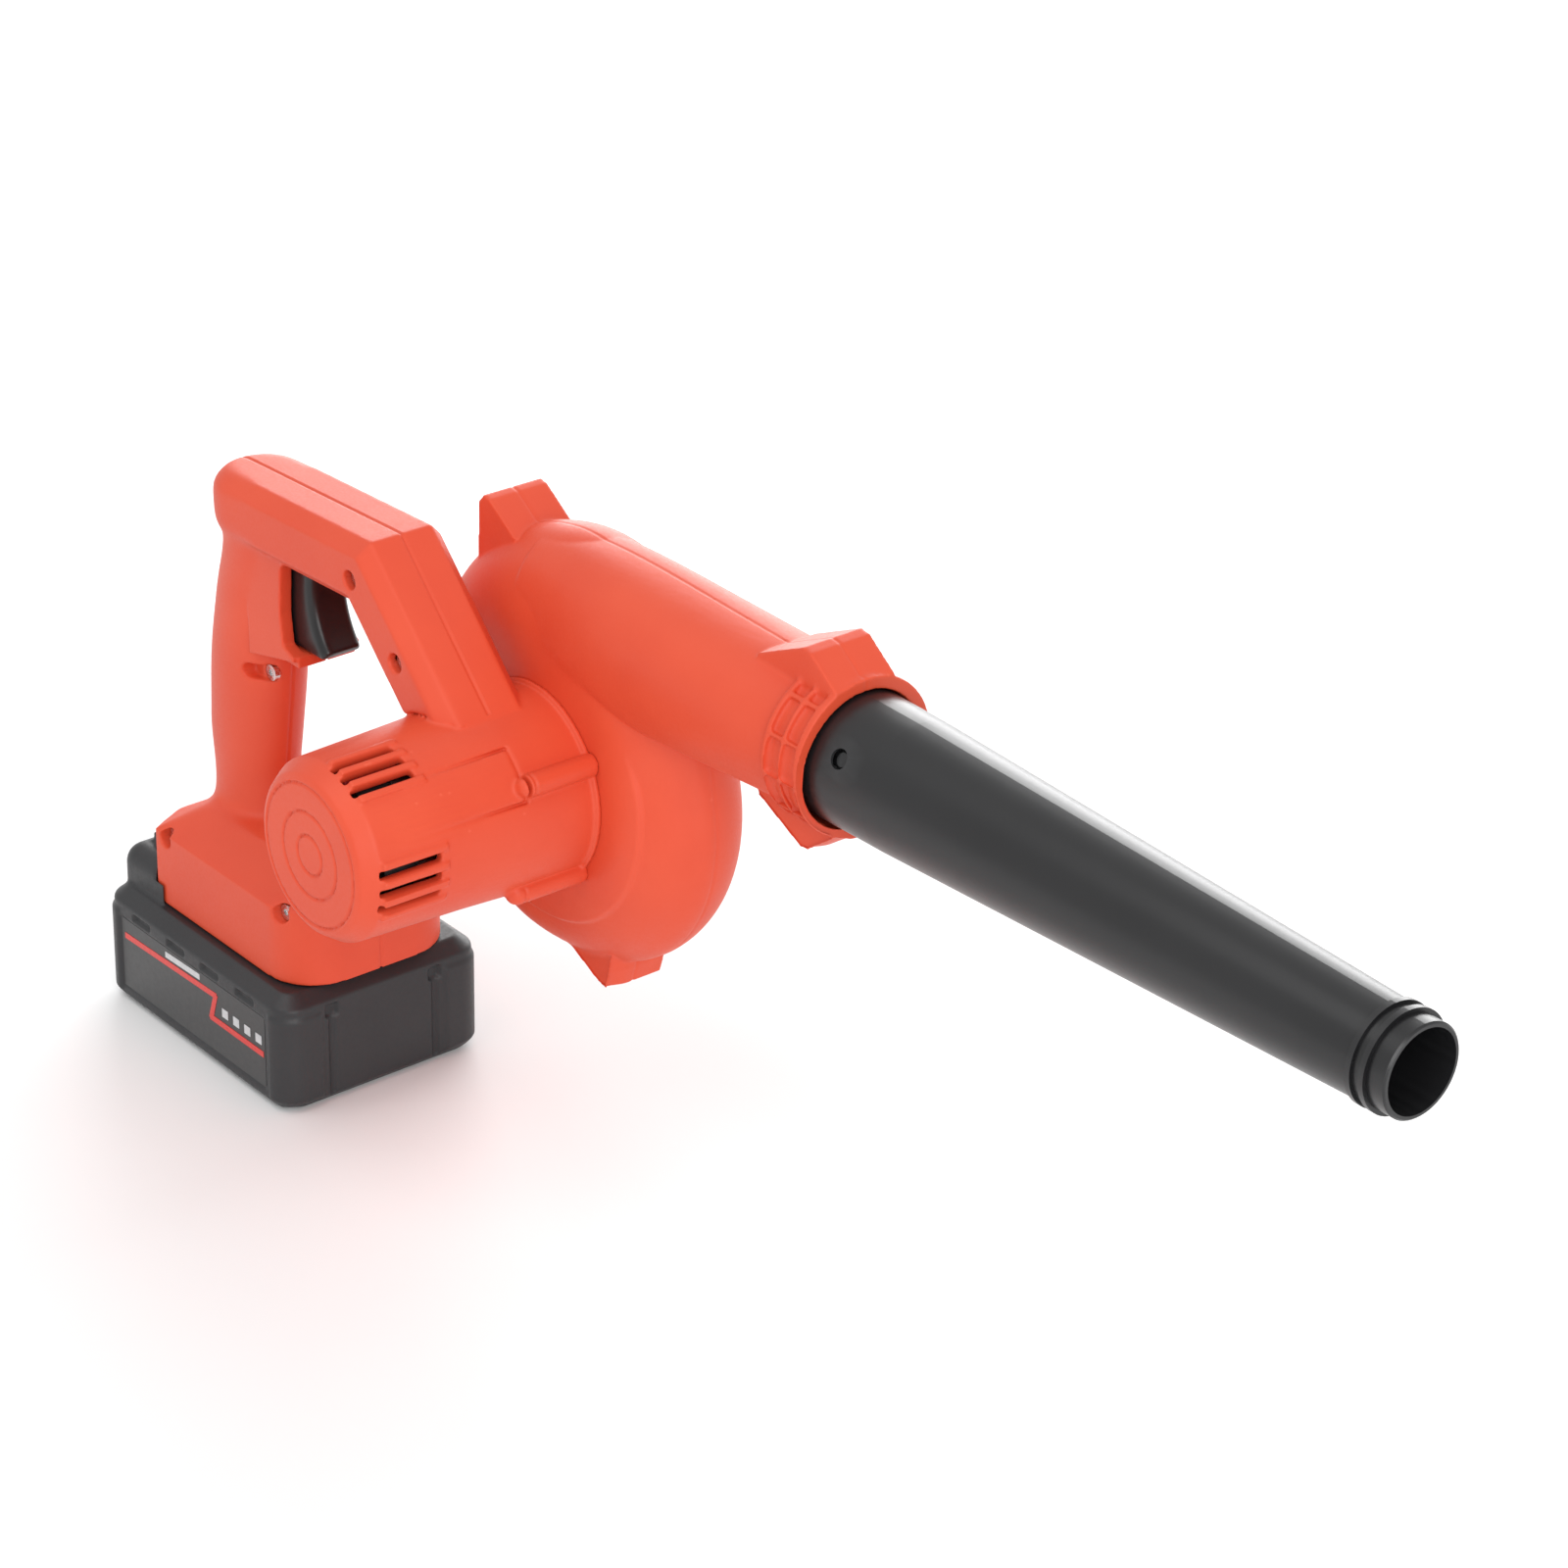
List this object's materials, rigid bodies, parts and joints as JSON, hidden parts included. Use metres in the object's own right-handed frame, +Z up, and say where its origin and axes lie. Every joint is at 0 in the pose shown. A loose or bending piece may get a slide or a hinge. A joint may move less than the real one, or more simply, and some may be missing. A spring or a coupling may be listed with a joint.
{
  "type": "leaf blower",
  "caption": "Cordless hand-held leaf blower: D handle with trigger, side motor barrel, round fan scroll, long tapered nozzle and slide-off battery pack.",
  "frame": {"origin": "centre of the battery pack's flat underside", "axes": "+X along the nozzle towards its tip, +Y towards the air inlet side, +Z up"},
  "size_m": [0.5451, 0.1414, 0.2256],
  "materials": {
    "orange_shell": "satin moulded",
    "black_plastic": "satin moulded",
    "pack_grey": "fine textured",
    "label": "printed film",
    "steel": "machined",
    "screw_steel": "zinc plated",
    "lamination": "stacked",
    "copper": "enamelled",
    "magnet": "ground",
    "carbon": "matt",
    "fan_plastic": "satin moulded",
    "cell_wrap": "shrink wrapped",
    "holder_plastic": "satin moulded",
    "nickel": "bright",
    "board": "solder mask",
    "wire": "insulated",
    "switch_plastic": "satin moulded"
  },
  "bodies": {
    "housing": {"handle_right": "orange_shell", "handle_left": "orange_shell", "handle_screws": "screw_steel", "motor_housing": "orange_shell", "scroll_right": "orange_shell", "scroll_left": "orange_shell", "scroll_screws": "screw_steel", "barrel_screws": "screw_steel", "inlet_grille": "black_plastic", "outlet_sleeve": "black_plastic", "motor_can": "steel", "motor_magnets": "magnet", "motor_end_bell": "black_plastic", "brush_holders": "copper", "motor_brushes": "carbon", "motor_terminals": "copper", "front_bearing": "steel", "rear_bearing": "steel", "motor_screws": "screw_steel", "trigger_spring": "steel", "switch_body": "switch_plastic", "leads": "wire", "terminal_block": "black_plastic", "terminal_blades": "copper"},
    "rotor": {"rotor_shaft": "steel", "armature": "lamination", "windings": "copper", "commutator": "copper", "impeller": "fan_plastic", "impeller_nut": "screw_steel"},
    "trigger_body": {"trigger": "black_plastic"},
    "nozzle_body": {"nozzle": "black_plastic"},
    "lock_pin": {"nozzle_lock_pin": "black_plastic"},
    "pack": {"pack_lower_case": "pack_grey", "pack_upper_case": "pack_grey", "pack_screws": "screw_steel", "cells": "cell_wrap", "cell_holders": "holder_plastic", "cell_straps": "nickel", "pack_board": "board", "pack_clips": "copper", "label_panels": "label", "latch_springs": "steel"},
    "latch": {"pack_latch": "black_plastic"}
  },
  "joints": [
    {"name": "rotor_spin", "type": "hinge", "parent": "housing", "child": "rotor", "pos_m": [0.1134, 0, 0.1347], "axis": [0, 1, 0], "continuous": true},
    {"name": "trigger_squeeze", "type": "slide", "parent": "housing", "child": "trigger_body", "axis": [-1, 0, 0], "range_m": [0, 0.006], "stiffness_N_per_m": 500, "springref_m": -0.006, "deforming": ["trigger_spring"]},
    {"name": "nozzle_pull", "type": "slide", "parent": "housing", "child": "nozzle_body", "axis": [1, 0, 0], "range_m": [0, 0.04]},
    {"name": "lock_pin_press", "type": "slide", "parent": "housing", "child": "lock_pin", "axis": [0, 0.8829, -0.4695], "range_m": [0, 0.002], "stiffness_N_per_m": 900, "springref_m": -0.001},
    {"name": "pack_slide", "type": "slide", "parent": "housing", "child": "pack", "axis": [-1, 0, 0], "range_m": [0, 0.1]},
    {"name": "latch_press", "type": "slide", "parent": "pack", "child": "latch", "axis": [0, 0, -1], "range_m": [0, 0.0035], "stiffness_N_per_m": 700, "springref_m": -0.002, "deforming": ["latch_springs"]}
  ]
}
